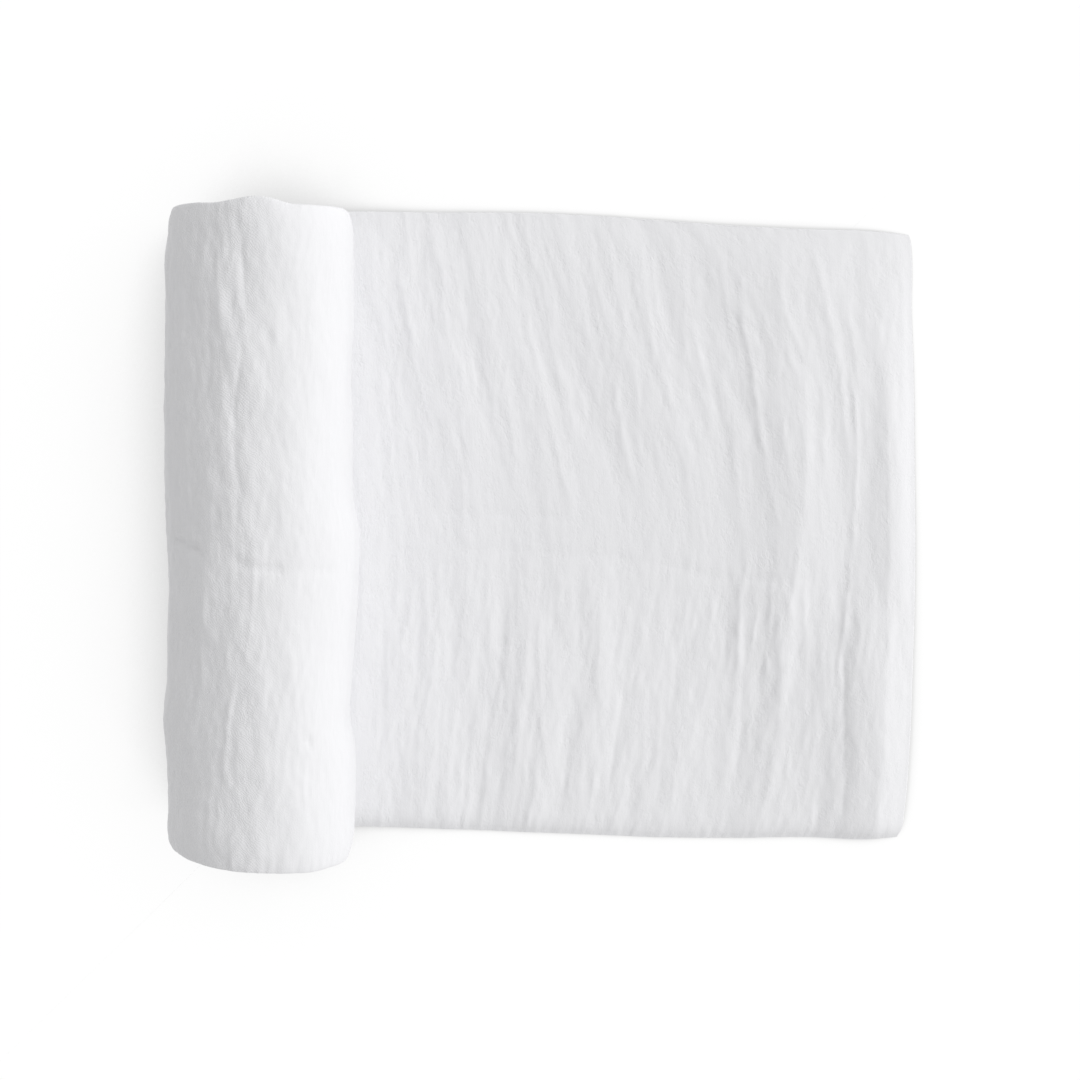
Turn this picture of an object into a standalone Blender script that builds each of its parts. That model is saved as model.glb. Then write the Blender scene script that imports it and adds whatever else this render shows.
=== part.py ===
"""A swaddle blanket: one square of cotton muslin, folded in four and rolled up for most of its length.

Metres, +Z up. X runs along the folded strip, from the roll at -X to the loose end at +X, and Y runs
across it, along the roll's axis. The origin is under the middle of the whole blanket.
"""
import math

import bmesh
import bpy
import numpy as np

# The cloth: a hemmed square, folded back and forth into a strip, which is then rolled up.
LAYERS = 4
SHEET = 0.0011              # one layer of crinkled muslin, as it lies
LAYER_STEP = 0.00155        # from one layer to the next, with a little air between them
STRIP_STACK = LAYERS * LAYER_STEP

# The roll's outer turn winds inwards by one strip a turn, from the point where it leaves the surface.
ROLL_AXIS_X = -0.1324
ROLL_RADIUS = 0.0460
ROLL_WIDEN = 1.035          # the roll is soft: a little wider than it is high
ROLL_FLATTEN = 0.985
ROLL_SAG = 0.0010           # how far the roll settles, which gives it its flat spot
FLAT_SPOT_LIFT = 0.0003     # the lowest layer alone lies on the surface
ROLL_POINTS = 40
STEP_ANGLE = math.radians(12)   # the last turn's edge comes down onto the strip in this angle

# The roll along its axis: how far it stands out beyond its nominal outline.
ROLL_COLUMNS = ("y", "left", "right", "top")
ROLL_STATIONS = (
    (0.1380, -0.0020, -0.0012, 0.0000),
    (0.1200, -0.0012, -0.0003, 0.0003),
    (0.1000, -0.0005, -0.0002, 0.0000),
    (0.0750, -0.0002, -0.0014, 0.0002),
    (0.0450, -0.0001, -0.0008, 0.0000),
    (0.0150, 0.0003, 0.0000, -0.0003),
    (0.0010, -0.0004, 0.0030, -0.0012),
    (-0.0120, -0.0014, 0.0031, -0.0016),
    (-0.0300, -0.0009, 0.0021, -0.0002),
    (-0.0520, -0.0006, 0.0002, 0.0003),
    (-0.0740, 0.0004, -0.0013, 0.0002),
    (-0.0870, 0.0011, -0.0018, 0.0000),
    (-0.1000, 0.0004, 0.0004, -0.0004),
    (-0.1200, -0.0001, 0.0012, 0.0000),
    (-0.1380, 0.0004, 0.0004, 0.0000),
)
ROLL_NORTH = 0.1525
ROLL_SOUTH = -0.1515

# Each end of the roll, from its side inwards: how far in from the outline, and how far back.
END_COLUMNS = ("inset", "back")
END_STATIONS = (
    (0.0007, 0.0050),
    (0.0024, 0.0020),
    (0.0050, 0.0004),
    (0.0090, 0.0000),
    (0.0210, 0.0012),
    (0.0310, 0.0024),
    (0.0360, 0.0042),
)

# The loose strip's outline, along X.
STRIP_COLUMNS = ("x", "south", "north")
STRIP_STATIONS = (
    (-0.1420, -0.1484, 0.1514),
    (-0.0900, -0.1486, 0.1514),
    (-0.0500, -0.1495, 0.1513),
    (-0.0100, -0.1506, 0.1515),
    (0.0300, -0.1518, 0.1503),
    (0.0600, -0.1527, 0.1486),
    (0.0900, -0.1528, 0.1467),
    (0.1300, -0.1519, 0.1451),
    (0.1680, -0.1514, 0.1438),
    (0.1800, -0.1498, 0.1424),
)
STRIP_START = ROLL_AXIS_X - 0.0090
END_LINE_COLUMNS = ("y", "x")
END_LINE = (
    (-0.1530, 0.1744),
    (-0.1378, 0.1772),
    (-0.1128, 0.1786),
    (-0.0700, 0.1794),
    (-0.0140, 0.1795),
    (0.0347, 0.1781),
    (0.0830, 0.1764),
    (0.1069, 0.1750),
    (0.1400, 0.1742),
    (0.1520, 0.1736),
)

# How far each layer, from the lowest up, stops short of the outline. Layers share their folds.
EDGE_COLUMNS = ("south", "north", "end")
LAYER_EDGES = (
    (0.0024, 0.0008, 0.0014),
    (0.0012, 0.0008, 0.0000),
    (0.0012, 0.0000, 0.0022),
    (0.0000, 0.0000, 0.0006),
)
LAYER_POINTS = 11
FOLD_POINTS = 3
STRIP_SECTIONS = 29
STRIP_CROWDING = 0.45       # how much closer together the sections are at the loose end

# Main creases of the loose strip: soft ridges that run across it, a row each.
RIDGE_COLUMNS = ("x_south", "x_north", "y_south", "y_north", "height", "half_width")
RIDGES = (
    (-0.046, -0.058, -0.150, -0.020, 0.0010, 0.009),
    (0.004, -0.006, -0.150, -0.030, 0.0013, 0.009),
    (0.020, -0.012, 0.010, 0.150, 0.0009, 0.009),
    (0.052, 0.040, -0.150, 0.020, 0.0010, 0.009),
    (0.090, 0.066, 0.000, 0.145, 0.0012, 0.009),
    (0.102, 0.094, -0.152, 0.000, 0.0010, 0.009),
    (0.141, 0.152, -0.145, 0.070, 0.0016, 0.007),
    (0.170, 0.171, -0.152, 0.140, 0.0016, 0.007),
)

CLOTH_COLOUR = (0.86, 0.86, 0.88, 1.0)
CLOTH_ROUGHNESS = 0.9


def column(columns, rows, name):
    """One named column of a table, as an array."""
    return np.array([row[columns.index(name)] for row in rows])


def read(columns, rows, along, name, at):
    """A table's value at a place along it, in straight stretches between its rows."""
    places = column(columns, rows, along)
    values = column(columns, rows, name)
    order = np.argsort(places)
    return float(np.interp(at, places[order], values[order]))


def clear_scene():
    for item in list(bpy.data.objects):
        bpy.data.objects.remove(item, do_unlink=True)


def new_collection(name):
    collection = bpy.data.collections.new(name)
    bpy.context.scene.collection.children.link(collection)
    return collection


def new_object(name, mesh, collection):
    item = bpy.data.objects.new(name, mesh)
    collection.objects.link(item)
    return item


def muslin():
    material = bpy.data.materials.new("muslin")
    material.use_nodes = True
    shader = material.node_tree.nodes["Principled BSDF"]
    shader.inputs["Base Color"].default_value = CLOTH_COLOUR
    shader.inputs["Roughness"].default_value = CLOTH_ROUGHNESS
    shader.inputs["Metallic"].default_value = 0.0
    return material


# The roll


def roll_radius(angle):
    """The outer turn's radius, angle radians round from the surface towards the left side."""
    winding_in = ROLL_RADIUS - STRIP_STACK * angle / (2 * math.pi)
    past = angle - (2 * math.pi - STEP_ANGLE)
    if past <= 0:
        return winding_in
    return winding_in + STRIP_STACK * past / STEP_ANGLE


def roll_ring(y, inset, left, right, top):
    """One closed section of the roll, in the plane of y, which is rounder the further in it is."""
    axis_z = ROLL_RADIUS * ROLL_FLATTEN - ROLL_SAG
    winding = 1.0 - inset / ROLL_RADIUS
    ring = []
    for index in range(ROLL_POINTS):
        angle = 2 * math.pi * index / ROLL_POINTS
        radius = ROLL_RADIUS - inset - winding * (ROLL_RADIUS - roll_radius(angle))
        across = math.sin(angle)
        up = -math.cos(angle)
        side = left if across > 0 else right
        x = ROLL_AXIS_X - across * (ROLL_WIDEN * radius + side * abs(across))
        z = axis_z + up * (ROLL_FLATTEN * radius + top * max(up, 0.0))
        ring.append((x, y, max(z, FLAT_SPOT_LIFT)))
    return ring


def roll_sections():
    """All sections of the roll, from the dished north end to the dished south end."""
    sides = [dict(zip(ROLL_COLUMNS, row)) for row in ROLL_STATIONS]
    ends = [dict(zip(END_COLUMNS, row)) for row in END_STATIONS]
    first, last = sides[0], sides[-1]
    sections = []
    for end in reversed(ends):
        sections.append(roll_ring(ROLL_NORTH - end["back"], end["inset"],
                                  first["left"], first["right"], first["top"]))
    for side in sides:
        sections.append(roll_ring(side["y"], 0.0, side["left"], side["right"], side["top"]))
    for end in ends:
        sections.append(roll_ring(ROLL_SOUTH + end["back"], end["inset"],
                                  last["left"], last["right"], last["top"]))
    return sections


def loft(name, sections):
    """A closed body through rings with the same number of points."""
    build = bmesh.new()
    rings = [[build.verts.new(point) for point in ring] for ring in sections]
    for near, far in zip(rings, rings[1:]):
        for index in range(len(near)):
            after = (index + 1) % len(near)
            build.faces.new((near[index], near[after], far[after], far[index]))
    build.faces.new(rings[0])
    build.faces.new(rings[-1])
    bmesh.ops.recalc_face_normals(build, faces=build.faces)
    mesh = bpy.data.meshes.new(name)
    build.to_mesh(mesh)
    build.free()
    mesh.shade_smooth()
    return mesh


# The loose strip


def ridge_height(x, y):
    """How far the main creases lift the top layer."""
    lift = 0.0
    for row in RIDGES:
        ridge = dict(zip(RIDGE_COLUMNS, row))
        span = ridge["y_north"] - ridge["y_south"]
        along = (y - ridge["y_south"]) / span
        crest_x = ridge["x_south"] + along * (ridge["x_north"] - ridge["x_south"])
        across = (x - crest_x) / ridge["half_width"]
        fade = min(1.0, max(0.0, 1.0 + 6 * min(along, 1 - along)))
        lift += ridge["height"] * fade * math.exp(-across * across)
    return lift


def strip_point(step, layer, share):
    """A point of one layer: step runs along the strip and share from its south to its north edge."""
    edge = dict(zip(EDGE_COLUMNS, LAYER_EDGES[layer]))
    guess_y = -0.15 + 0.30 * share
    end_x = read(END_LINE_COLUMNS, END_LINE, "y", "x", guess_y) - edge["end"]
    x = STRIP_START + step * (end_x - STRIP_START)
    south = read(STRIP_COLUMNS, STRIP_STATIONS, "x", "south", x) + edge["south"]
    north = read(STRIP_COLUMNS, STRIP_STATIONS, "x", "north", x) - edge["north"]
    y = south + share * (north - south)
    z = SHEET / 2 + layer * (LAYER_STEP + ridge_height(x, y) / (LAYERS - 1))
    return np.array((x, y, z))


def strip_section(step):
    """The whole folded section at one step: layers to and fro, with a round fold between them."""
    points = []
    for layer in range(LAYERS):
        northward = layer % 2 == 0
        shares = np.linspace(0.0, 1.0, LAYER_POINTS)
        if not northward:
            shares = shares[::-1]
        points += [strip_point(step, layer, share) for share in shares]
        if layer == LAYERS - 1:
            break
        below = points[-1]
        above = strip_point(step, layer + 1, shares[-1])
        middle = (below + above) / 2
        radius = (above[2] - below[2]) / 2
        outward = 1.0 if northward else -1.0
        for index in range(1, FOLD_POINTS + 1):
            turn = math.pi * index / (FOLD_POINTS + 1)
            points.append(middle + np.array((0.0, outward * radius * math.sin(turn),
                                             -radius * math.cos(turn))))
    return points


def loose_strip(collection):
    """The part of the strip that isn't rolled up, as one sheet folded back and forth."""
    shares = np.linspace(0.0, 1.0, STRIP_SECTIONS)
    sections = [strip_section(share * (1 + STRIP_CROWDING * (1 - share))) for share in shares]
    along = len(sections) - 1
    across = len(sections[0]) - 1
    build = bmesh.new()
    bmesh.ops.create_grid(build, x_segments=along, y_segments=across, size=1.0)
    for vert in build.verts:
        step = round((vert.co.x + 1) / 2 * along)
        place = round((vert.co.y + 1) / 2 * across)
        vert.co = sections[step][place]
    mesh = bpy.data.meshes.new("loose_strip")
    build.to_mesh(mesh)
    build.free()
    strip = new_object("loose_strip", mesh, collection)
    thickness = strip.modifiers.new("sheet", 'SOLIDIFY')
    thickness.thickness = SHEET
    thickness.offset = 0.0
    strip.hide_render = True
    strip.display_type = 'WIRE'
    return strip


def main():
    clear_scene()
    parts = new_collection("swaddle_blanket")
    helpers = new_collection("helpers")
    blanket = new_object("swaddle_blanket", loft("swaddle_blanket", roll_sections()), parts)
    blanket.data.materials.append(muslin())
    joined = blanket.modifiers.new("loose_end", 'BOOLEAN')
    joined.operation = 'UNION'
    joined.solver = 'EXACT'
    joined.object = loose_strip(helpers)


main()
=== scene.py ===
"""Looks of the swaddle blanket: crinkled white muslin, folded in four and rolled up for most of its length.

The square of cloth is made in three sheets that meet under the roll: the loose end, the roll's outer
turn, and the turns inside it. Each sheet is one back-and-forth section of four layers, carried along
the strip. Distances are in metres. X runs along the strip, from the roll to the loose end, and Y
runs across it.
"""
import functools
import math

import bpy
import numpy as np
from mathutils import Matrix, Vector


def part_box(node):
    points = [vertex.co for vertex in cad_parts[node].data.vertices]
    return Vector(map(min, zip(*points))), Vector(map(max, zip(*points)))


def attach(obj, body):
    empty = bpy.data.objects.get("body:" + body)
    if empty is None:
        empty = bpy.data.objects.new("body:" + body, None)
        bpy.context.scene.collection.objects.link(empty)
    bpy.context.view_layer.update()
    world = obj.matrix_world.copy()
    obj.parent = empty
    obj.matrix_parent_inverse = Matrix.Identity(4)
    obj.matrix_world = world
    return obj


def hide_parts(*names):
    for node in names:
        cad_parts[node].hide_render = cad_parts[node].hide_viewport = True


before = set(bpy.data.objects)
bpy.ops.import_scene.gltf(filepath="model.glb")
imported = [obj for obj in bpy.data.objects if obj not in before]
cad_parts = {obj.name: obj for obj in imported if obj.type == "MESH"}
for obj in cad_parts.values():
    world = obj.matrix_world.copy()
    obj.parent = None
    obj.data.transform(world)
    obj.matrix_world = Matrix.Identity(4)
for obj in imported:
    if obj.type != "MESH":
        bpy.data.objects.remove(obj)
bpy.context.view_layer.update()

MM = 0.001
PIECE = "swaddle_blanket"
LOW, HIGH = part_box(PIECE)

# The cloth: a hemmed square, folded back and forth in four.
CLOTH_SIDE = 1.2
LAYERS = 4
STRIP_WIDTH = CLOTH_SIDE / LAYERS
LAYER_STEP = 1.55 * MM
STRIP_STACK = LAYERS * LAYER_STEP
LOWEST_LAYER = 0.6 * MM
TOP = LAYERS - 1
HEM_LOFT = 0.8 * MM         # from a layer to the hem turned onto it
SIDE_HEM = 6.0 * MM
END_HEM = 13.5 * MM
# How far the end hem lifts each layer, from the lowest up: it lies between the layers, two by two.
LAYER_HEM_LIFT = (0.0, 0.9 * MM, 0.9 * MM, 1.8 * MM)
# Along the end hem: what share of that lift the layers take, over what width they rise to it, how
# much thinner the strip lies at its very end, and over what width it droops to that.
HEM_COLUMNS = ("y", "share", "rise", "droop", "droop_width")
HEM_STATIONS = (
    (0.1500, -0.2, 0.010, 0.72, 0.0065),
    (0.0950, -0.1, 0.010, 0.72, 0.0065),
    (0.0600, 0.7, 0.010, 0.68, 0.0066),
    (0.0000, 1.7, 0.020, 0.54, 0.0075),
    (-0.0600, 2.7, 0.037, 0.46, 0.0090),
    (-0.0900, 3.2, 0.050, 0.43, 0.0100),
    (-0.1200, 2.7, 0.042, 0.43, 0.0100),
    (-0.1530, 1.8, 0.036, 0.45, 0.0095),
)
HEM_RISE_POWER = 1.6        # they rise the more steeply the nearer they are to it
HEM_STRAY = 1.0 * MM        # how far the end hem's inner edge strays, and over what length
HEM_STRAY_LENGTH = 15.0 * MM
HEM_LINE_DEPTH = 0.15 * MM  # the side hem's stitched line, and the puckers beside it
HEM_LINE_WIDTH = 0.9 * MM
HEM_PUCKER = 3.4 * MM
HEM_PUCKER_HEIGHT = 0.30 * MM

# The roll, as in the solid that these sheets stand for.
ROLL_RADIUS = 46.0 * MM
ROLL_WIDEN = 1.035
ROLL_FLATTEN = 0.985
ROLL_SAG = 1.0 * MM
ROLL_SLUMP = 0.13           # how far the roll's top leans towards the loose end, for its height
ROLL_AXIS_X = LOW.x + ROLL_WIDEN * ROLL_RADIUS - 0.5 * MM
ROLL_AXIS_Z = ROLL_RADIUS * ROLL_FLATTEN - ROLL_SAG
SAG_DEPTH = 15.0 * MM       # how far up into the roll its flat spot is felt
TURN = 2 * math.pi
CORE_ANGLE = 32.6           # how far round, in radians, the cloth's inner edge ends, by the open core

# The roll along its axis: how far it stands out beyond its nominal outline.
ROLL_COLUMNS = ("y", "left", "right", "top")
ROLL_STATIONS = (
    (0.1380, -0.0024, -0.0002, 0.0000),
    (0.1200, -0.0012, -0.0003, 0.0003),
    (0.1000, -0.0005, -0.0002, 0.0000),
    (0.0750, -0.0002, -0.0014, 0.0002),
    (0.0450, -0.0001, -0.0008, 0.0000),
    (0.0150, 0.0003, 0.0000, -0.0003),
    (0.0010, -0.0004, 0.0030, -0.0012),
    (-0.0120, -0.0014, 0.0031, -0.0016),
    (-0.0300, -0.0009, 0.0021, -0.0002),
    (-0.0520, -0.0006, 0.0002, 0.0003),
    (-0.0740, 0.0004, -0.0013, 0.0002),
    (-0.0870, 0.0011, -0.0018, 0.0000),
    (-0.1000, 0.0004, 0.0004, -0.0004),
    (-0.1200, -0.0001, 0.0012, 0.0000),
    (-0.1380, 0.0006, 0.0010, 0.0000),
)

# Where the outer turn's two edges lie, in degrees round from the surface by the side away from the
# loose end.
RIM_COLUMNS = ("degrees", "south", "north")
RIM_STATIONS = (
    (0, -0.1470, 0.1490),
    (60, -0.1472, 0.1488),
    (90, -0.1482, 0.1494),
    (114, -0.1496, 0.1508),
    (132, -0.1508, 0.1512),
    (149, -0.1516, 0.1511),
    (162, -0.1520, 0.1524),
    (174, -0.1522, 0.1537),
    (184, -0.1524, 0.1530),
    (196, -0.1526, 0.1508),
    (212, -0.1530, 0.1504),
    (228, -0.1524, 0.1502),
    (250, -0.1520, 0.1497),
    (275, -0.1504, 0.1485),
    (310, -0.1480, 0.1478),
    (360, -0.1480, 0.1485),
)
RIM_TAPER = 2.5 * MM        # how far the roll's rims turn inwards, over what width, and how deep
RIM_TAPER_WIDTH = 5.0 * MM
RIM_TAPER_DEPTH = 9.0 * MM
RIM_UNEVENNESS = 1.5 * MM   # how far the inner turns' edges stray, and over how many radians
RIM_UNEVENNESS_ANGLE = 1.7

# The loose end's outline, along X, and its end, along Y.
STRIP_COLUMNS = ("x", "south", "north")
STRIP_STATIONS = (
    (-0.1420, -0.1480, 0.1500),
    (-0.0900, -0.1486, 0.1514),
    (-0.0500, -0.1495, 0.1513),
    (-0.0100, -0.1506, 0.1515),
    (0.0300, -0.1518, 0.1503),
    (0.0600, -0.1527, 0.1486),
    (0.0900, -0.1528, 0.1467),
    (0.1300, -0.1519, 0.1451),
    (0.1680, -0.1523, 0.1443),
    (0.1800, -0.1516, 0.1434),
)
END_COLUMNS = ("y", "x")
END_STATIONS = (
    (-0.1530, 0.1735),
    (-0.1480, 0.1758),
    (-0.1378, 0.1772),
    (-0.1128, 0.1786),
    (-0.0700, 0.1794),
    (-0.0140, 0.1795),
    (0.0347, 0.1781),
    (0.0830, 0.1764),
    (0.1069, 0.1750),
    (0.1340, 0.1744),
    (0.1390, 0.1739),
    (0.1440, 0.1724),
)

# How far each layer, from the lowest up, stops short of that outline. Layers share their folds.
LAYER_COLUMNS = ("south", "north", "end")
LOOSE_LAYERS = (
    (0.0024, 0.0010, 0.0035),
    (0.0014, 0.0010, 0.0055),
    (0.0014, 0.0000, 0.0045),
    (0.0000, 0.0000, 0.0000),
)
ROLLED_LAYERS = (
    (0.0000, 0.0000),
    (0.0012, 0.0000),
    (0.0012, 0.0012),
    (0.0022, 0.0012),
)


# Tables and noise


def column(columns, rows, name):
    """One named column of a table, as an array."""
    return np.array([row[columns.index(name)] for row in rows], float)


def read(columns, rows, along, name, at):
    """A table's values at places along it, on a smooth curve through its rows."""
    places = column(columns, rows, along)
    values = column(columns, rows, name)
    order = np.argsort(places)
    places, values = places[order], values[order]
    slopes = np.gradient(values, places)
    at = np.clip(at, places[0], places[-1])
    cell = np.clip(np.searchsorted(places, at) - 1, 0, len(places) - 2)
    width = places[cell + 1] - places[cell]
    t = (at - places[cell]) / width
    rest = 1 - t
    return (values[cell] * rest * rest * (1 + 2 * t) + values[cell + 1] * t * t * (3 - 2 * t)
            + width * t * rest * (slopes[cell] * rest - slopes[cell + 1] * t))


def smooth_step(low, high, at):
    """0 below low, 1 above high, and a soft change between them."""
    t = np.clip((at - low) / (high - low), 0, 1)
    return t * t * (3 - 2 * t)


NOISE_CELLS = 256


@functools.lru_cache(maxsize=None)
def noise_slopes(seed):
    """The seeded slopes that gradient noise has at its grid's corners, one way and the other."""
    angles = np.random.default_rng(seed).uniform(0, TURN, (NOISE_CELLS, NOISE_CELLS))
    return np.cos(angles), np.sin(angles)


def noise(u, v, seed):
    """Seeded gradient noise, from about -1 to 1, with one cell to a unit of u and of v."""
    slope_u, slope_v = noise_slopes(seed)
    u, v = np.broadcast_arrays(u, v)
    left, low = np.floor(u).astype(int), np.floor(v).astype(int)
    fu, fv = u - left, v - low

    def corner(i, j):
        cell = (left + i) % NOISE_CELLS, (low + j) % NOISE_CELLS
        return slope_u[cell] * (fu - i) + slope_v[cell] * (fv - j)

    ease_u = fu ** 3 * (fu * (fu * 6 - 15) + 10)
    ease_v = fv ** 3 * (fv * (fv * 6 - 15) + 10)
    south = corner(0, 0) * (1 - ease_u) + corner(1, 0) * ease_u
    north = corner(0, 1) * (1 - ease_u) + corner(1, 1) * ease_u
    return 1.5 * (south * (1 - ease_v) + north * ease_v)


# The cloth's relief: crinkles that run across the strip, and the main creases among them


CRINKLE_COLUMNS = ("wavelength", "length", "height", "sharpness")
CRINKLES = (
    (34.0 * MM, 120.0 * MM, 1.05 * MM, 0.0),
    (14.0 * MM, 95.0 * MM, 0.60 * MM, 0.1),
    (8.0 * MM, 55.0 * MM, 0.40 * MM, 0.35),
    (4.8 * MM, 13.0 * MM, 0.20 * MM, 0.35),
    (3.2 * MM, 4.5 * MM, 0.12 * MM, 0.2),
)
SHORTEST_CRINKLE = 4.0 * MM
RIDGE_STEEPNESS = 2.4       # how steeply the sharp share of a crinkle falls from its crest
PATCH_CHANGE = 0.6          # how much the height changes from patch to patch
PATCH_WIDTH = 6             # a patch's width, in wavelengths
# How far a crinkle strays sideways, and over what length.
STRAYS = (
    (1.5 * MM, 30.0 * MM),
    (0.7 * MM, 7.0 * MM),
    (0.4 * MM, 4.0 * MM),
)
# The same for a main crease.
CREASE_STRAYS = (
    (0.7 * MM, 9.0 * MM),
    (0.4 * MM, 4.0 * MM),
)
CREASE_SWING = 0.45         # how much its height changes as it strays
CREASE_STRENGTH = 0.52      # what share of the tables' heights the main creases have
CREASE_STEEPNESS = 2.2      # how steeply a crease falls from its crest, for its half width
CREASE_FADE = (-0.12, 0.18)     # where it fades in and out at its ends, as shares of its length


def crinkle(u, y, seed, shorter=1.0):
    """Height of the crinkles where they run along lines of equal u, made shorter by a share."""
    strayed = u
    for index, (distance, length) in enumerate(STRAYS):
        strayed = strayed + distance * noise(u / length, y / length, seed + index)
    height = np.zeros(np.broadcast(u, y).shape)
    for index, row in enumerate(CRINKLES):
        wave = dict(zip(CRINKLE_COLUMNS, row))
        across = strayed / wave["wavelength"]
        lengthways = y / max(shorter * wave["length"], SHORTEST_CRINKLE)
        swing = noise(across, lengthways, seed + 10 + index)
        ridges = 1 - RIDGE_STEEPNESS * np.abs(noise(across, lengthways, seed + 20 + index))
        patch = 1 + PATCH_CHANGE * noise(across / PATCH_WIDTH, lengthways, seed + 30 + index)
        height += wave["height"] * patch * ((1 - wave["sharpness"]) * swing
                                            + wave["sharpness"] * ridges)
    return height


# How the lines of the crinkles bow: how far they lean towards the loose end, along Y.
BOW_COLUMNS = ("y", "lean")
BOW = (
    (0.1550, -0.0345),
    (0.1100, -0.0235),
    (0.0600, -0.0115),
    (0.0200, -0.0030),
    (-0.0100, 0.0000),
    (-0.0400, -0.0008),
    (-0.0800, -0.0045),
    (-0.1200, -0.0095),
    (-0.1550, -0.0140),
)
ROLL_BOW = 0.5              # the roll's lines bow less, and are shorter
ROLL_SHORTER = 0.32
# How much crinkle the loose end has across the strip: it is calmer by the fold mark in its middle.
CALM_COLUMNS = ("y", "share")
CALM = (
    (0.1550, 0.95),
    (0.0900, 1.10),
    (0.0500, 1.00),
    (0.0280, 0.70),
    (0.0100, 0.55),
    (-0.0120, 0.60),
    (-0.0300, 1.10),
    (-0.0800, 1.25),
    (-0.1200, 1.20),
    (-0.1550, 1.00),
)
# What share of that bow the lines have along the loose end.
BOW_SHARE_COLUMNS = ("x", "share")
BOW_SHARE = (
    (-0.140, 0.4),
    (-0.072, 0.6),
    (0.000, 1.0),
    (0.074, 1.0),
    (0.123, 0.5),
    (0.163, 0.1),
    (0.180, 0.0),
)


def unbowed(x, y):
    """X of the place where the line through a point of the loose end crosses the middle."""
    share = read(BOW_SHARE_COLUMNS, BOW_SHARE, "x", "share", x)
    return x - share * read(BOW_COLUMNS, BOW, "y", "lean", y)


# Main creases, in millimetres: where each starts, is halfway and ends, sideways and lengthways, then
# its height, which is below 0 for a trough, and its half width.
CREASE_COLUMNS = ("start", "halfway", "end", "from", "to", "height", "half_width")
# Across the loose end's top layer, along Y from the north, with X sideways.
LOOSE_CREASES = (
    (-71, -66, -59, 128, 60, 0.80, 2.8),
    (-61, -58, -57, 62, 36, 0.40, 2.0),
    (-43, -41, -38, 140, 92, 0.60, 7.0),
    (-43, -36, -30, 86, 24, 0.60, 4.0),
    (-31, -24, -18, 80, 28, 0.35, 2.5),
    (-12, -1, 11, 112, 16, 0.90, 3.2),
    (-3, 5, 14, 112, 46, 0.40, 2.0),
    (24, 33, 41, 108, 27, 0.65, 3.0),
    (29, 34, 40, 143, 80, 0.60, 3.2),
    (46, 50, 56, 136, 74, 0.45, 2.5),
    (57, 62, 70, 84, 36, 0.45, 2.5),
    (62, 72, 80, 140, 58, 0.80, 2.4),
    (66, 68, 71, 100, 78, 0.45, 2.0),
    (84, 87, 91, 138, 98, 0.65, 3.0),
    (94, 97, 99, 127, 97, 0.50, 2.5),
    (95, 101, 106, 110, 32, 0.80, 2.4),
    (91, 92, 94, 52, 12, 0.65, 2.8),
    (107, 110, 113, 32, 2, 0.50, 2.5),
    (115, 115, 116, 54, 36, 0.40, 2.0),
    (114, 118, 125, 124, 84, 0.60, 2.2),
    (125, 126, 124, 76, 6, 0.75, 3.0),
    (131, 142, 147, 135, 28, 0.60, 3.0),
    (134, 135, 135, 72, 26, 0.50, 2.4),
    (147, 151, 149, 80, 4, 0.90, 2.1),
    (122, 121, 117, 6, -42, 0.80, 2.8),
    (126, 126, 127, -26, -57, 0.45, 2.0),
    (150, 146, 141, 10, -82, 0.95, 2.2),
    (145, 147, 149, -60, -147, -1.00, 2.2),
    (139, 139, 138, -60, -96, 0.55, 2.4),
    (129, 128, 128, -88, -118, 0.50, 2.4),
    (93, 94, 94, -22, -74, 0.95, 2.5),
    (102, 102, 101, -28, -60, 0.70, 2.0),
    (110, 109, 107, -20, -76, 0.85, 2.4),
    (115, 115, 115, -50, -93, 0.60, 2.4),
    (97, 96, 95, -75, -123, -0.50, 2.5),
    (71, 69, 63, -10, -62, 0.75, 3.0),
    (74, 74, 73, -82, -110, 0.40, 1.6),
    (66, 65, 64, -98, -142, 0.38, 1.6),
    (50, 49, 48, -92, -122, 0.40, 2.0),
    (40, 37, 31, -52, -132, -0.55, 2.5),
    (20, 17, 17, -20, -146, 0.60, 3.8),
    (25, 26, 25, -84, -142, -0.38, 2.4),
    (2, 2, 2, -20, -44, 0.40, 1.6),
    (0, -3, 3, -28, -120, 0.90, 2.4),
    (-3, -5, -7, -121, -149, 0.65, 2.0),
    (-10, -12, -21, -56, -148, 1.00, 4.0),
    (-27, -29, -34, -68, -148, -0.42, 2.4),
    (-38, -37, -40, -84, -142, -0.42, 3.4),
    (-66, -66, -68, -74, -149, 0.55, 4.0),
)
# Broad swells under those, which the layers below share.
SWELLS = (
    (114, 122, 121, 150, -66, 3.1, 27.0),
    (149, 151, 156, -38, -160, 2.1, 31.0),
    (-98, -98, -98, 158, -158, 4.0, 24.0),
    (-52, -38, -25, 150, 10, 0.8, 24.0),
    (1, -1, -5, -55, -155, 1.5, 13.0),
    (30, 26, 22, -20, -150, 0.7, 16.0),
)
# Lengthways along the loose end, with Y sideways: marks of how the cloth was folded in its packing.
LOOSE_FOLD_MARKS = (
    (7, 6, 4, -72, 12, -0.22, 3.0),
    (-11, -13, -21, -45, 75, -0.35, 3.2),
    (-21, -24, -24, 68, 130, -0.35, 3.0),
    (41, 41, 41, -15, 36, -0.16, 1.6),
)
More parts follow.
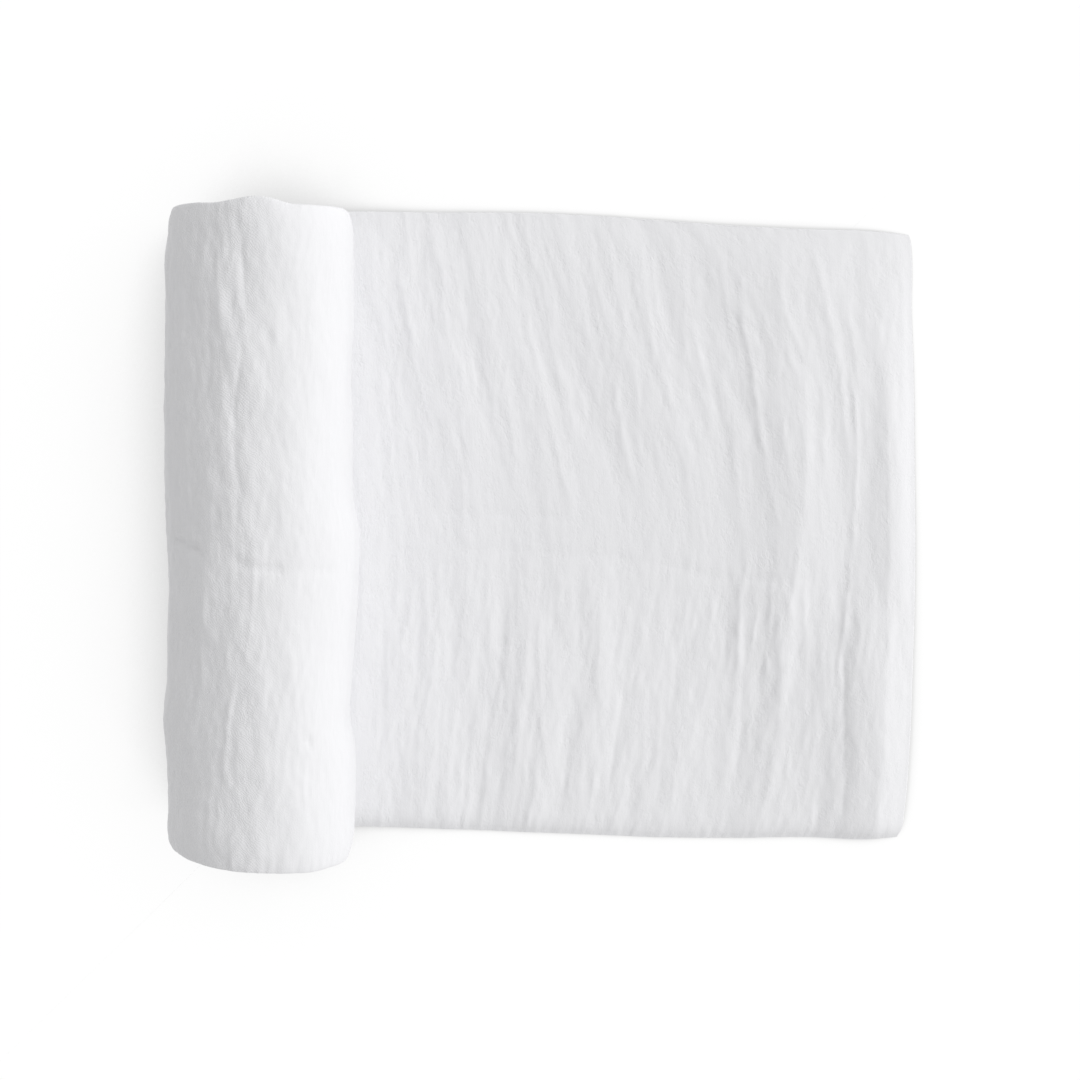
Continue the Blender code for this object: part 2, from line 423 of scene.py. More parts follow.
# On the roll's outer turn, along Y, with the distance round it from its top line sideways.
ROLL_CREASES = (
    (-22, -22, -20, 153, 98, 0.90, 3.2),
    (-26, -27, -27, 100, 68, -0.60, 3.0),
    (-13, -10, -8, 148, 104, -0.55, 2.0),
    (-10, -14, -9, 84, 14, -1.00, 1.9),
    (-18, -20, -17, 90, 20, 0.50, 3.5),
    (-36, -34, -35, 68, 22, -0.60, 2.4),
    (-43, -41, -41, 72, 0, 0.50, 4.0),
    (4, 5, 5, 102, 80, 0.30, 2.0),
    (-5, -6, -9, -8, -56, 0.55, 2.0),
    (-13, -18, -21, -56, -118, 1.05, 2.5),
    (-29, -32, -31, -10, -70, 0.45, 4.0),
    (0, 0, 0, -58, -78, 0.40, 1.5),
    (23, 23, 23, -89, -95, -1.50, 2.6),
    (15, 14, 15, -92, -112, 0.35, 2.2),
    (19, 20, 20, -108, -130, 0.40, 2.0),
    (-35, -35, -36, -43, -51, -0.60, 2.6),
    (-37, -37, -38, -68, -76, -0.60, 3.0),
    (-33, -34, -33, -79, -95, -0.60, 2.6),
    (-25, -27, -29, -98, -140, 0.40, 3.5),
)
# Round the roll, with Y sideways.
ROLL_FOLD_MARKS = (
    (-2, -3, -6, -58, -34, -1.40, 2.2),
    (-9, -12, -14, -16, 9, -1.20, 2.2),
    (-12, -14, -13, 4, 36, -0.50, 3.0),
    (-92, -95, -94, -52, -20, 0.30, 2.0),
    (-118, -121, -119, -52, -24, 0.30, 2.0),
)


def creases(rows, sideways, lengthways, strays=CREASE_STRAYS, seed=400):
    """Height that a table of creases adds at a place. Each has a sharp crest and strays a little."""
    total = np.zeros(np.broadcast(sideways, lengthways).shape)
    for index, row in enumerate(rows):
        crease = dict(zip(CREASE_COLUMNS, [value * MM for value in row]))
        t = (lengthways - crease["from"]) / (crease["to"] - crease["from"])
        path = (crease["start"] * (1 - t) * (1 - 2 * t) + crease["halfway"] * 4 * t * (1 - t)
                + crease["end"] * t * (2 * t - 1))
        swing = 1.0
        for distance, length in strays:
            path = path + distance * noise(lengthways / length, 0.5 + index, seed)
            swing = swing + CREASE_SWING * noise(lengthways / length, 0.5 + index, seed + 1)
        fade = smooth_step(*CREASE_FADE, t) * smooth_step(*CREASE_FADE, 1 - t)
        across = CREASE_STEEPNESS * (sideways - path) / crease["half_width"]
        total += crease["height"] * swing * fade * np.exp(1 - np.sqrt(1 + across ** 2))
    return total


def swells(x, y):
    """Broad unevenness of the loose end, which all its layers share."""
    return creases(SWELLS, x, y, strays=())


def loose_relief(x, y):
    """Relief of the loose end's top layer, without the broad swells."""
    calm = read(CALM_COLUMNS, CALM, "y", "share", y)
    return (calm * crinkle(unbowed(x, y), y, seed=100)
            + CREASE_STRENGTH * creases(LOOSE_CREASES, x, y)
            + creases(LOOSE_FOLD_MARKS, y, x, seed=410))


def hem_relief(along, from_edge):
    """Relief of a side hem that shows: its stitched line, and the puckers that this draws in."""
    line = np.exp(-((from_edge - SIDE_HEM) / HEM_LINE_WIDTH) ** 2)
    puckers = noise(along / HEM_PUCKER, from_edge / (3 * HEM_PUCKER), seed=340)
    return HEM_PUCKER_HEIGHT * puckers * np.exp(-(from_edge / SIDE_HEM) ** 2) - HEM_LINE_DEPTH * line


PEBBLE = 3.6 * MM           # the blisters that show where the cloth is drawn round the roll
PEBBLE_LENGTHENED = 1.3     # how much longer than wide they are
PEBBLE_HEIGHT = 0.25 * MM
# How much of its crinkle the roll has round it: it is smoother where it comes down to the strip.
SMOOTHING_COLUMNS = ("arc", "share")
SMOOTHING = (
    (-0.080, 0.9),
    (-0.010, 1.0),
    (0.015, 0.65),
    (0.040, 0.38),
    (0.080, 0.5),
)


def roll_relief(arc, y):
    """Relief of the roll's outer layer, at a distance round it from its top line."""
    lean = ROLL_BOW * read(BOW_COLUMNS, BOW, "y", "lean", y)
    pebbles = noise(arc / PEBBLE, y / (PEBBLE_LENGTHENED * PEBBLE), seed=240)
    crinkled = crinkle(arc - lean, y, seed=200, shorter=ROLL_SHORTER) + PEBBLE_HEIGHT * pebbles
    return (read(SMOOTHING_COLUMNS, SMOOTHING, "arc", "share", arc) * crinkled
            + CREASE_STRENGTH * creases(ROLL_CREASES, arc, y, seed=420)
            + creases(ROLL_FOLD_MARKS, y, arc, seed=425))


# The folded section


PANEL, FOLD, HEM_BEND, HEM_FLAP = range(4)
FINE_ROW = 2.0 * MM         # from row to row in the layer that shows, in the others and at their edges
COARSE_ROW = 22.0 * MM
EDGE_ROW = 0.7 * MM
ROW_GROWTH = 1.5
FOLD_ROWS = 4
HEM_ROWS = 5
HEM_FLAPS = (1.0, 0.6, 0.25)    # rows of a hem's turned part, as shares of its width from its bend
CORNER_LOFT = 0.9           # how much thicker a side hem is where the end hem lies in it
HEM_SHIFT = 0.45            # what share of the end hem's offset a side hem takes there


def panel_shares(step):
    """Places across a layer, from 0 to 1: close together at both edges, then opening out to step."""
    gaps = []
    gap = EDGE_ROW
    while 2 * sum(gaps) + 2 * gap < STRIP_WIDTH:
        gaps.append(gap)
        gap = min(step, gap * ROW_GROWTH)
    middle = STRIP_WIDTH - 2 * sum(gaps)
    gaps = gaps + [middle] + gaps[::-1]
    return np.concatenate([[0.0], np.cumsum(gaps)]) / STRIP_WIDTH


def section_rows(fine_layer):
    """Rows of the folded section, from the lowest layer's hem to the top layer's: kind, layer, place."""
    bends = [math.pi * index / (HEM_ROWS - 1) for index in range(HEM_ROWS)]
    rows = [(HEM_FLAP, 0, share) for share in HEM_FLAPS]
    rows += [(HEM_BEND, 0, bend) for bend in bends[:-1]]
    for layer in range(LAYERS):
        shares = panel_shares(FINE_ROW if layer == fine_layer else COARSE_ROW)
        if layer % 2 == 1:
            shares = shares[::-1]
        rows += [(PANEL, layer, share) for share in shares]
        if layer < TOP:
            rows += [(FOLD, layer, math.pi * (index + 1) / (FOLD_ROWS + 1)) for index in range(FOLD_ROWS)]
    rows += [(HEM_BEND, TOP, bend) for bend in bends[-2::-1]]
    rows += [(HEM_FLAP, TOP, share) for share in HEM_FLAPS[::-1]]
    return rows


def fold_section(rows, edges, height, corner):
    """Y and height of every row at every station along the strip, as two arrays (stations, rows).

    edges(layer) gives a layer's south and north edge, height(layer, y) its height in the strip, and
    corner is 1 where the strip's own end hem lies in the side hems, and 0 beyond.
    """
    ys, heights = [], []
    radius = HEM_LOFT / 2
    for kind, layer, place in rows:
        south, north = edges(layer)
        if kind in (HEM_FLAP, HEM_BEND):
            upward = 1.0 if layer % 2 == 0 else -1.0
            loft = radius * (1 + CORNER_LOFT * corner)
            inset = place * SIDE_HEM if kind == HEM_FLAP else radius * (1 - math.sin(place))
            y = south + inset
            raised = 2.0 if kind == HEM_FLAP else 1 + math.cos(place)
            rise = height(layer, np.maximum(y, south + radius)) + upward * raised * loft
        elif kind == PANEL:
            first = south + (radius if layer in (0, TOP) else LAYER_STEP / 2)
            y = first + place * (north - LAYER_STEP / 2 - first)
            rise = height(layer, y)
        else:
            outward = 1.0 if layer % 2 == 0 else -1.0
            edge = (north if layer % 2 == 0 else south) - outward * LAYER_STEP / 2
            below, above = height(layer, edge), height(layer + 1, edge)
            y = edge + outward * math.sin(place) * LAYER_STEP / 2
            rise = (below + above) / 2 - math.cos(place) * (above - below) / 2
        ys.append(y)
        heights.append(rise)
    return np.stack(ys, axis=1), np.stack(heights, axis=1)


def shift_along_normal(ys, heights, offsets, rows):
    """Moves each station's section towards the cloth's inner face, as where its end hem lies on it."""
    run, climb = np.gradient(ys, axis=1), np.gradient(heights, axis=1)
    size = np.maximum(np.hypot(run, climb), 1e-9)
    share = np.array([HEM_SHIFT if kind in (HEM_FLAP, HEM_BEND) else 1.0 for kind, layer, place in rows])
    shift = offsets[:, None] * share
    return ys - shift * climb / size, heights + shift * run / size


def cloth_across(rows):
    """Where each row lies on the flat cloth, from its south hem in the lowest layer."""
    places = []
    for kind, layer, place in rows:
        if kind == PANEL:
            place = place if layer % 2 == 0 else 1 - place
            places.append((layer + place) * STRIP_WIDTH)
        elif kind == FOLD:
            places.append((layer + 1) * STRIP_WIDTH)
        else:
            inset = SIDE_HEM * place if kind == HEM_FLAP else 0.0
            places.append(-inset if layer == 0 else CLOTH_SIDE + inset)
    return np.array(places)


# Meshes


def grid_mesh(name, points, along, across, lines):
    """A sheet through points (stations, rows).

    The UV map "cloth" is a point's place on the flat cloth, and "lines" its place among the crinkles,
    both as shares of the cloth's side.
    """
    stations, rows = points.shape[:2]
    build = bpy.data.meshes.new(name)
    corner = np.arange(stations * rows).reshape(stations, rows)
    quads = np.stack([corner[:-1, :-1], corner[:-1, 1:], corner[1:, 1:], corner[1:, :-1]], axis=-1)
    build.from_pydata(points.reshape(-1, 3).tolist(), [], quads.reshape(-1, 4).tolist())
    loops = np.zeros(len(build.loops), np.int32)
    build.loops.foreach_get("vertex_index", loops)
    for layer_name, sideways in (("cloth", along[:, None]), ("lines", lines)):
        flat = np.stack(np.broadcast_arrays(sideways, across[None, :]), axis=-1).reshape(-1, 2)
        layer = build.uv_layers.new(name=layer_name)
        layer.data.foreach_set("uv", (flat[loops] / CLOTH_SIDE).astype(np.float32).ravel())
    build.shade_smooth()
    build.update()
    return build


def new_sheet(name, points, along, across, lines, material):
    """One sheet of the blanket, riding on the root body in place of the solid."""
    piece = bpy.data.objects.new(name, grid_mesh(name, points, along, across, lines))
    bpy.context.scene.collection.objects.link(piece)
    piece.data.materials.append(material)
    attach(piece, "root")
    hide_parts(PIECE)
    return piece


def stations(stretches):
    """Places along the strip through stretches of (start, end, step)."""
    places = []
    for start, end, step in stretches:
        count = max(1, round(abs(end - start) / step))
        places.append(np.linspace(start, end, count, endpoint=False))
    places.append(np.array([stretches[-1][1]]))
    return np.concatenate(places)


# The roll's surface


# The outer layer takes on its relief between the first two angles, and loses it between the others.
RELIEF_FROM = math.radians(8), math.radians(40)
RELIEF_TO = math.radians(330), math.radians(352)
GROUNDED = math.radians(35)     # up to here the surface holds the rims flat
HIDDEN_CRINKLE = 9.0 * MM, 60.0 * MM    # the width and length of the hidden layers' unevenness
ROLLED_UNEVENNESS = 0.25 * MM
LOOSE_UNEVENNESS = 0.15 * MM


def hidden_relief(sideways, y, seed):
    """Relief of a layer that others hide, from -1 to 1."""
    width, length = HIDDEN_CRINKLE
    return noise(sideways / width, y / length, seed=seed)


def roll_place(angle, y, height):
    """A point of the spiral: its angle round from the surface, and its height in the strip there."""
    radius = ROLL_RADIUS - STRIP_STACK * angle / TURN - height
    share = np.clip(radius / ROLL_RADIUS, 0, 1)
    across, up = np.sin(angle), -np.cos(angle)
    left = read(ROLL_COLUMNS, ROLL_STATIONS, "y", "left", y)
    right = read(ROLL_COLUMNS, ROLL_STATIONS, "y", "right", y)
    top = read(ROLL_COLUMNS, ROLL_STATIONS, "y", "top", y)
    side = np.where(across > 0, left, right) * np.abs(across)
    x = ROLL_AXIS_X - across * (ROLL_WIDEN * radius + side * share)
    x = x + ROLL_SLUMP * radius * up * smooth_step(0.0, 0.5, up)
    z = ROLL_AXIS_Z + up * (ROLL_FLATTEN * radius + top * np.maximum(up, 0) * share)
    from_axis = x - ROLL_AXIS_X
    lift = np.maximum(0, ROLL_SAG - from_axis ** 2 / (2 * ROLL_RADIUS))
    z = z + lift * np.exp(-np.maximum(z, 0) / SAG_DEPTH)
    return np.stack(np.broadcast_arrays(x, y, z), axis=-1)


def rim_edges(angle, layer):
    """South and north edge of a layer of the roll."""
    degrees = np.degrees(np.minimum(angle, TURN))
    inner = np.maximum(0, angle - TURN)
    settle = smooth_step(0, 1.0, inner)
    south = read(RIM_COLUMNS, RIM_STATIONS, "degrees", "south", degrees)
    north = read(RIM_COLUMNS, RIM_STATIONS, "degrees", "north", degrees)
    south = south + settle * RIM_UNEVENNESS * noise(inner / RIM_UNEVENNESS_ANGLE, 0.5, seed=301)
    north = north + settle * RIM_UNEVENNESS * noise(inner / RIM_UNEVENNESS_ANGLE, 0.5, seed=302)
    inset_south, inset_north = ROLLED_LAYERS[layer]
    return south + inset_south, north - inset_north


def roll_section(angles, rows, fine_layer):
    """The spiral's points at every angle and row."""
    visible = smooth_step(*RELIEF_FROM, angles) * (1 - smooth_step(*RELIEF_TO, angles))
    arc = ROLL_RADIUS * (angles - math.pi)

    def edges(layer):
        return rim_edges(angles, layer)

    def height(layer, y):
        base = LOWEST_LAYER + layer * LAYER_STEP
        if layer == fine_layer:
            from_hem = y - edges(layer)[0]
            return base - visible * (roll_relief(arc, y) + hem_relief(arc, from_hem))
        return base + ROLLED_UNEVENNESS * hidden_relief(arc, y, seed=310 + layer)

    ys, heights = fold_section(rows, edges, height, corner=0.0)
    turned = angles[:, None]
    south, north = rim_edges(turned, 0)
    from_rim = np.minimum(ys - south, north - ys)
    inner = STRIP_STACK * turned / TURN
    depth = np.maximum(0, heights + np.maximum(0, inner - STRIP_STACK))
    taper = RIM_TAPER * np.exp(-np.maximum(from_rim, 0) / RIM_TAPER_WIDTH - depth / RIM_TAPER_DEPTH)
    clear = smooth_step(0.0, GROUNDED, turned)
    return roll_place(turned, ys, heights + clear * taper)


# The loose end's surface


LOOSE_LENGTH = HIGH.x - ROLL_AXIS_X
FOOT = 30.0 * MM            # over this length from the roll's axis the strip takes on the roll's shape
UNDER_ROLL = 28.0 * MM, 44.0 * MM   # from here the roll leaves the top layer free
CORNER_FADE = 2.0 * MM      # beyond its inner edge the end hem fades out of the side hems in this
# How much thinner the strip lies at its south and north sides, and over what width.
SIDE_DROOPS = (0.45, 0.32)
SIDE_DROOP_WIDTHS = (3.2 * MM, 13.0 * MM)
DROOP_POWER = 1.5


def loose_x(along, y, layer_end):
    """X at a distance from the strip's end, which isn't quite straight."""
    end = read(END_COLUMNS, END_STATIONS, "y", "x", y) - layer_end
    return ROLL_AXIS_X + (1 - along / LOOSE_LENGTH) * (end - ROLL_AXIS_X)


def loose_section(along, offsets, rows):
    """The loose end's points at every station and row."""
    middle_x = HIGH.x - along
    foot = 1 - smooth_step(0.0, FOOT, middle_x - ROLL_AXIS_X)
    corner = 1 - smooth_step(END_HEM, END_HEM + CORNER_FADE, along)
    free = smooth_step(*UNDER_ROLL, middle_x - ROLL_AXIS_X)

    def edges(layer):
        inset_south, inset_north = LOOSE_LAYERS[layer][:2]
        south = read(STRIP_COLUMNS, STRIP_STATIONS, "x", "south", middle_x) + inset_south
        north = read(STRIP_COLUMNS, STRIP_STATIONS, "x", "north", middle_x) - inset_north
        rolled_south, rolled_north = rim_edges(np.zeros(1), layer)
        return south + foot * (rolled_south - south), north + foot * (rolled_north - north)

    def height(layer, y):
        base = LOWEST_LAYER + layer * LAYER_STEP
        footed = roll_place(np.zeros(1), 0.0, base)[..., 2]
        rise = read(HEM_COLUMNS, HEM_STATIONS, "y", "rise", y)
        share = read(HEM_COLUMNS, HEM_STATIONS, "y", "share", y)
        strayed = along + HEM_STRAY * noise(y / HEM_STRAY_LENGTH, 0.5, seed=331)
        in_hem = share * np.clip(1 - (strayed - END_HEM) / rise, 0, 1) ** HEM_RISE_POWER
        base = base + foot * (footed - base) + LAYER_HEM_LIFT[layer] * in_hem * (1 - foot)
        base = base + layer / TOP * (1 - foot) * swells(middle_x, y)
        if layer == TOP:
            from_hem = y - edges(TOP)[0]
            return base + free * (loose_relief(middle_x, y) + hem_relief(middle_x, from_hem))
        return base + LOOSE_UNEVENNESS * (1 - foot) * hidden_relief(middle_x, y, seed=320 + layer)

    ys, heights = fold_section(rows, edges, height, corner)
    ys, heights = shift_along_normal(ys, heights, offsets, rows)
    ends = np.array([LOOSE_LAYERS[layer][LAYER_COLUMNS.index("end")] for kind, layer, place in rows])
    x = loose_x(along[:, None], ys, ends)
    from_end = np.maximum(0, along[:, None])
    droop = read(HEM_COLUMNS, HEM_STATIONS, "y", "droop", ys)
    droop_width = read(HEM_COLUMNS, HEM_STATIONS, "y", "droop_width", ys)
    end_droop = 1 - droop * np.exp(-(from_end / droop_width) ** DROOP_POWER)
    south, north = edges(TOP)
    side_droop = 1.0
    from_sides = ys - south[:, None], north[:, None] - ys
    for from_side, droop, width in zip(from_sides, SIDE_DROOPS, SIDE_DROOP_WIDTHS):
        nearness = np.exp(-(np.maximum(0, from_side) / width) ** DROOP_POWER)
        side_droop = side_droop - droop * nearness * (1 - foot[:, None])
    return np.stack([x, ys, heights * end_droop * side_droop], axis=-1)


END_HEM_FLAPS = (1.0, 0.75, 0.5, 0.3, 0.15)     # as HEM_FLAPS


def end_hem_stations():
    """Stations of the end hem, from its inner edge round the strip's end: distance and offset."""
    radius = HEM_LOFT / 2
    flap = [(END_HEM * share, HEM_LOFT) for share in END_HEM_FLAPS]
    bend = [(radius * (1 - math.sin(turn)), radius * (1 + math.cos(turn)))
            for turn in np.linspace(0, math.pi, HEM_ROWS)]
    return flap + bend


# Materials


CLOTH_COLOUR = (0.815, 0.815, 0.83)
TINTS = (0.975, 1.02)       # how dark and how light the threads are beside it
CRINKLED_HEIGHT = 0.20 * MM
CRINKLED_CELL = 1.6 * MM, 2.6 * MM
CRINKLED_PATCH = 7.0 * MM, 16.0 * MM
CRINKLED_SPREAD = 0.38, 0.66    # between these values of its noise a patch goes from calm to strong
CRINKLED_SHARES = 0.35, 1.60    # what share of the height a calm patch and a strong one have
SLUB_HEIGHT = 0.03 * MM
SLUB_CELL = 0.55 * MM, 11.0 * MM
WEAVE_PITCH = 0.75 * MM
WEAVE_HEIGHT = 0.010 * MM
WEAVE_WANDER = 12.0         # how far the threads wander, in radians of the weave, and over what
WEAVE_WANDER_CELL = 4.0 * MM, 4.0 * MM
DRAWN_WEAVE_HEIGHT = 0.044 * MM     # how much more the weave shows where the roll draws it tight
# Where it is drawn tight, and where the roll's finest crinkle is eased, as lengths of strip into
# the roll.
DRAWN_FROM = 30.0 * MM, 90.0 * MM
DRAWN_TO = 150.0 * MM, 125.0 * MM
EASED_FROM = 125.0 * MM, 160.0 * MM
EASED_SHARE = 0.75


class Nodes:
    """Short calls for building a material's node tree."""

    def __init__(self, name):
        self.material = bpy.data.materials.new(name)
        self.material.use_nodes = True
        self.tree = self.material.node_tree
        self.shader = self.tree.nodes["Principled BSDF"]

    def link(self, source, target):
        self.tree.links.new(source, target)

    def fill(self, socket, value):
        if isinstance(value, bpy.types.NodeSocket):
            self.link(value, socket)
        else:
            socket.default_value = value

    def math(self, operation, first, second=0.0):
        node = self.tree.nodes.new("ShaderNodeMath")
        node.operation = operation
        self.fill(node.inputs[0], first)
        self.fill(node.inputs[1], second)
        return node.outputs[0]

    def sum(self, first, *others):
        for other in others:
            first = self.math("ADD", first, other)
        return first

    def product(self, first, *others):
        for other in others:
            first = self.math("MULTIPLY", first, other)
        return first

    def ramp(self, value, low, high):
        """0 where value is at low or short of it, up to 1 at high and past it."""
        node = self.tree.nodes.new("ShaderNodeMapRange")
        self.link(value, node.inputs["Value"])
        node.inputs["From Min"].default_value = low
        node.inputs["From Max"].default_value = high
        return node.outputs["Result"]

    def place(self, uv_map):
        """A UV map's place on the flat cloth, in metres."""
        node = self.tree.nodes.new("ShaderNodeUVMap")
        node.uv_map = uv_map
        return self.scaled(node.outputs[0], (CLOTH_SIDE, CLOTH_SIDE, 1.0))

    def scaled(self, vector, scale):
        node = self.tree.nodes.new("ShaderNodeMapping")
        node.inputs["Scale"].default_value = scale
        self.link(vector, node.inputs["Vector"])
        return node.outputs[0]

    def noise(self, vector, cell, detail, roughness=0.5, distortion=0.0):
        """Noise whose cells measure cell, in metres, along the vector's first two axes."""
        node = self.tree.nodes.new("ShaderNodeTexNoise")
        node.inputs["Scale"].default_value = 1.0
        node.inputs["Detail"].default_value = detail
        node.inputs["Roughness"].default_value = roughness
        node.inputs["Distortion"].default_value = distortion
        self.link(self.scaled(vector, (1 / cell[0], 1 / cell[1], 1.0)), node.inputs["Vector"])
        return node.outputs["Fac"]


def muslin():
    """Crinkled open-weave cotton: matt and white, with threads, slubs and a fine crinkle in its relief."""
    make = Nodes("muslin")
    shader = make.shader
    shader.inputs["Roughness"].default_value = 0.92
    shader.inputs["Specular IOR Level"].default_value = 0.15
    shader.inputs["Sheen Weight"].default_value = 0.08
    shader.inputs["Sheen Roughness"].default_value = 0.6

    flat = make.place("cloth")
    split = make.tree.nodes.new("ShaderNodeSeparateXYZ")
    make.link(flat, split.inputs[0])
    along, across = split.outputs[0], split.outputs[1]

    def within_roll(stretch):
        return make.ramp(along, LOOSE_LENGTH + stretch[0], LOOSE_LENGTH + stretch[1])

    lines = make.place("lines")
    crinkled = make.noise(lines, CRINKLED_CELL, detail=2.0, roughness=0.6, distortion=0.5)
    patches = make.ramp(make.noise(lines, CRINKLED_PATCH, detail=1.0), *CRINKLED_SPREAD)
    calm, strong = CRINKLED_SHARES
    patched = make.sum(make.product(patches, strong - calm), calm)
    eased = make.product(within_roll(EASED_FROM), -EASED_SHARE * CRINKLED_HEIGHT)
    slubs = make.noise(flat, SLUB_CELL, detail=1.0)
    wander = make.product(make.noise(flat, WEAVE_WANDER_CELL, detail=2.0), WEAVE_WANDER)
    warp, weft = [make.math("SINE", make.sum(make.product(way, math.pi / WEAVE_PITCH), wander))
                  for way in (along, across)]
    drawn = make.product(within_roll(DRAWN_FROM), within_roll(DRAWN_TO), DRAWN_WEAVE_HEIGHT)
    height = make.sum(make.product(crinkled, patched, make.sum(eased, CRINKLED_HEIGHT)),
                      make.product(slubs, SLUB_HEIGHT),
                      make.product(warp, weft, make.sum(drawn, WEAVE_HEIGHT)))
    bump = make.tree.nodes.new("ShaderNodeBump")
    bump.inputs["Distance"].default_value = 1.0
    make.link(height, bump.inputs["Height"])
    make.link(bump.outputs[0], shader.inputs["Normal"])

    tint = make.tree.nodes.new("ShaderNodeMix")
    tint.data_type = 'RGBA'
    for socket, share in zip(("A", "B"), TINTS):
        tint.inputs[socket].default_value = (*[value * share for value in CLOTH_COLOUR], 1.0)
    make.link(slubs, tint.inputs["Factor"])
    make.link(tint.outputs["Result"], shader.inputs["Base Color"])
    return make.material


def floor_material():
    """A white sweep that glows, with painted shadow: its glow falls off where something stands close over
    it.
    """
    make = Nodes("floor")
    # Painted shadow: ambient occlusion darkens the floor's glow near the blanket, for its contact shadow
    # and a soft halo of shade round it.
    near = make.tree.nodes.new("ShaderNodeAmbientOcclusion")
    near.inputs["Distance"].default_value = FLOOR_SHADE_REACH
    open_sky = near.outputs["AO"]
    glow_with_painted_shadow = make.math("MULTIPLY", open_sky, FLOOR_GLOW)
    white_with_painted_halo = make.sum(make.math("MULTIPLY", open_sky, FLOOR_HALO), FLOOR_WHITE - FLOOR_HALO)
    make.shader.inputs["Base Color"].default_value = (*[FLOOR_ALBEDO] * 3, 1.0)
    make.shader.inputs["Roughness"].default_value = 1.0
    make.shader.inputs["Specular IOR Level"].default_value = 0.0
    make.shader.inputs["Emission Color"].default_value = (1.0, 1.0, 1.0, 1.0)
    make.link(make.math("MINIMUM", glow_with_painted_shadow, white_with_painted_halo), make.shader.inputs["Emission Strength"])
    return make.material


# The studio


CAMERA_PLACE = Vector((-0.0041, 0.0961, 1.0550))
CAMERA_AIM = Vector((-0.00315, -0.00635, 0.0))
CAMERA_ROLL = math.radians(0.54)
CAMERA_LENS = 72.4
SENSOR = 36.0
FLOOR_SIDE = 80.0
FLOOR_ALBEDO = 0.05
FLOOR_GLOW = 1.24           # the floor's glow where it is open all round, before it is held to white
FLOOR_WHITE = 0.97
FLOOR_HALO = 0.12           # how much the white itself dims towards a corner: a painted halo of shade round the blanket
FLOOR_SHADE_REACH = 0.5
WORLD_LIGHT = 0.53          # the even light from all round
KEY_POWER = 264.0
KEY_SIZE = (5.4, 5.4)
KEY_DISTANCE = 6.0
KEY_ELEVATION = math.radians(42)
KEY_AZIMUTH = math.radians(20)


def look_along(place, aim, up):
    """A matrix that puts a camera or lamp at place, looking at aim."""
    back = (place - aim).normalized()
    right = up.cross(back).normalized()
    over = back.cross(right)
    turn = Matrix((right, over, back)).transposed().to_4x4()
    return Matrix.Translation(place) @ turn


def add_camera():
    lens = bpy.data.cameras.new("camera")
    lens.lens = CAMERA_LENS
    lens.sensor_width = SENSOR
    camera = bpy.data.objects.new("camera", lens)
    up = Vector((-math.sin(CAMERA_ROLL), math.cos(CAMERA_ROLL), 0.0))
    camera.matrix_world = look_along(CAMERA_PLACE, CAMERA_AIM, up)
    bpy.context.scene.collection.objects.link(camera)
    bpy.context.scene.camera = camera


def add_floor():
    half = FLOOR_SIDE / 2
    mesh = bpy.data.meshes.new("floor")
    mesh.from_pydata([(-half, -half, 0), (half, -half, 0), (half, half, 0), (-half, half, 0)], [],
                     [(0, 1, 2, 3)])
    floor = bpy.data.objects.new("floor", mesh)
    floor.data.materials.append(floor_material())
    bpy.context.scene.collection.objects.link(floor)


def add_light():
    world = bpy.data.worlds.new("studio")
    world.use_nodes = True
    background = world.node_tree.nodes["Background"]
    background.inputs["Color"].default_value = (1.0, 1.0, 1.0, 1.0)
    background.inputs["Strength"].default_value = WORLD_LIGHT
    bpy.context.scene.world = world
    lamp = bpy.data.lights.new("key", 'AREA')
    lamp.shape = 'RECTANGLE'
    lamp.size, lamp.size_y = KEY_SIZE
    lamp.energy = KEY_POWER
    key = bpy.data.objects.new("key", lamp)
    place = KEY_DISTANCE * Vector((math.cos(KEY_ELEVATION) * math.cos(KEY_AZIMUTH),
                                   math.cos(KEY_ELEVATION) * math.sin(KEY_AZIMUTH),
                                   math.sin(KEY_ELEVATION)))
    key.matrix_world = look_along(place, Vector((0, 0, 0)), Vector((0, 0, 1)))
    bpy.context.scene.collection.objects.link(key)
    bpy.context.scene.view_settings.view_transform = 'Standard'


# The blanket


ROLL_GIRTH = 0.99 * ROLL_WIDEN  # a turn's length, as a share of a circle's
FINE_STATION = 0.8 * MM         # from station to station where the cloth shows, and where it doesn't
LOOSE_STATION = 3.0 * MM
ROLLED_STATION = 2.6 * MM
FIRST_STATION = 0.6 * MM        # from the end hem's bend to the next station
LOOSE_SHOWN = 262.0 * MM        # how far from its end the loose end shows
ROLL_SHOWN = math.radians(35), math.radians(325)
INNER_STATIONS = 220


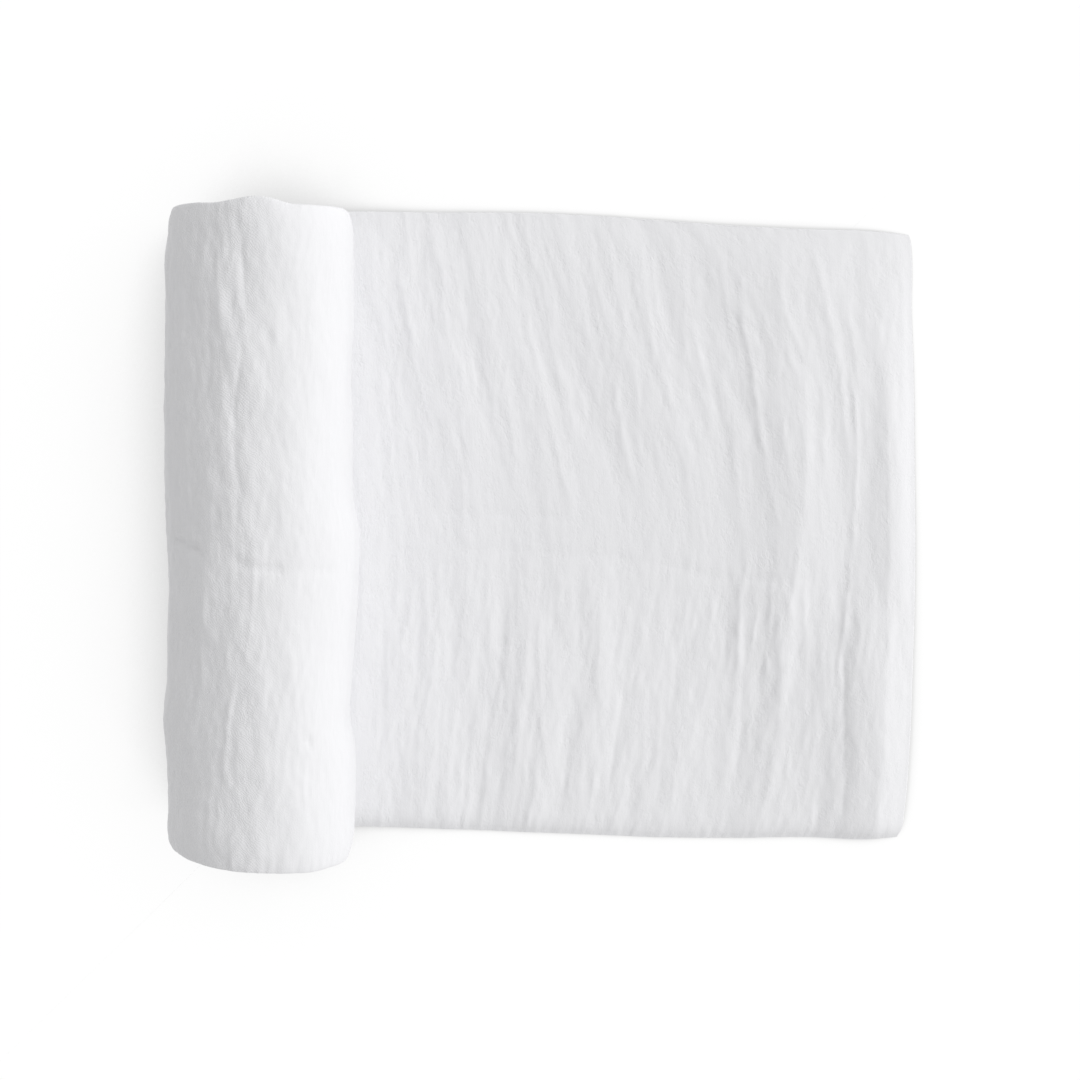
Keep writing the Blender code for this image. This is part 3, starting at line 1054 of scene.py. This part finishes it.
def spiral_length(angle):
    """Length of strip wound into the roll up to an angle."""
    middle = ROLL_RADIUS - STRIP_STACK / 2
    return ROLL_GIRTH * (middle * angle - STRIP_STACK * angle ** 2 / (2 * TURN))


def add_blanket():
    cloth = muslin()
    # The loose end, from its hem round the strip's end to the roll's foot.
    rows = section_rows(fine_layer=TOP)
    across = cloth_across(rows)
    hem = end_hem_stations()
    run = stations([(HEM_LOFT / 2 + FIRST_STATION, LOOSE_SHOWN, FINE_STATION),
                    (LOOSE_SHOWN, LOOSE_LENGTH, LOOSE_STATION)])
    along = np.concatenate([[place for place, offset in hem], run])
    offsets = np.concatenate([[offset for place, offset in hem], np.zeros(len(run))])
    on_cloth = along.copy()
    turned_in = offsets[:len(hem)] >= HEM_LOFT - 1e-6
    on_cloth[:len(hem)] = np.where(turned_in, -along[:len(hem)], 0.0)
    points = loose_section(along, offsets, rows)
    lines = -unbowed(HIGH.x - along[:, None], points[..., 1])
    new_sheet("loose_end", points, on_cloth, across, lines, cloth)

    # The roll's outer turn.
    rows = section_rows(fine_layer=0)
    across = cloth_across(rows)
    fine, coarse = FINE_STATION / ROLL_RADIUS, ROLLED_STATION / ROLL_RADIUS
    seen_from, seen_to = ROLL_SHOWN
    angles = stations([(0.0, seen_from, coarse), (seen_from, seen_to, fine), (seen_to, TURN, coarse)])
    on_cloth = LOOSE_LENGTH + spiral_length(angles)
    points = roll_section(angles, rows, fine_layer=0)
    lines = on_cloth[:, None] - ROLL_BOW * read(BOW_COLUMNS, BOW, "y", "lean", points[..., 1])
    new_sheet("outer_turn", points, on_cloth, across, lines, cloth)

    # The turns inside it, down to the open core.
    rows = section_rows(fine_layer=None)
    across = cloth_across(rows)
    angles = np.linspace(TURN, CORE_ANGLE, INNER_STATIONS)
    on_cloth = LOOSE_LENGTH + spiral_length(angles)
    points = roll_section(angles, rows, fine_layer=None)
    new_sheet("inner_turns", points, on_cloth, across, on_cloth[:, None], cloth)


add_camera()
add_floor()
add_light()
add_blanket()
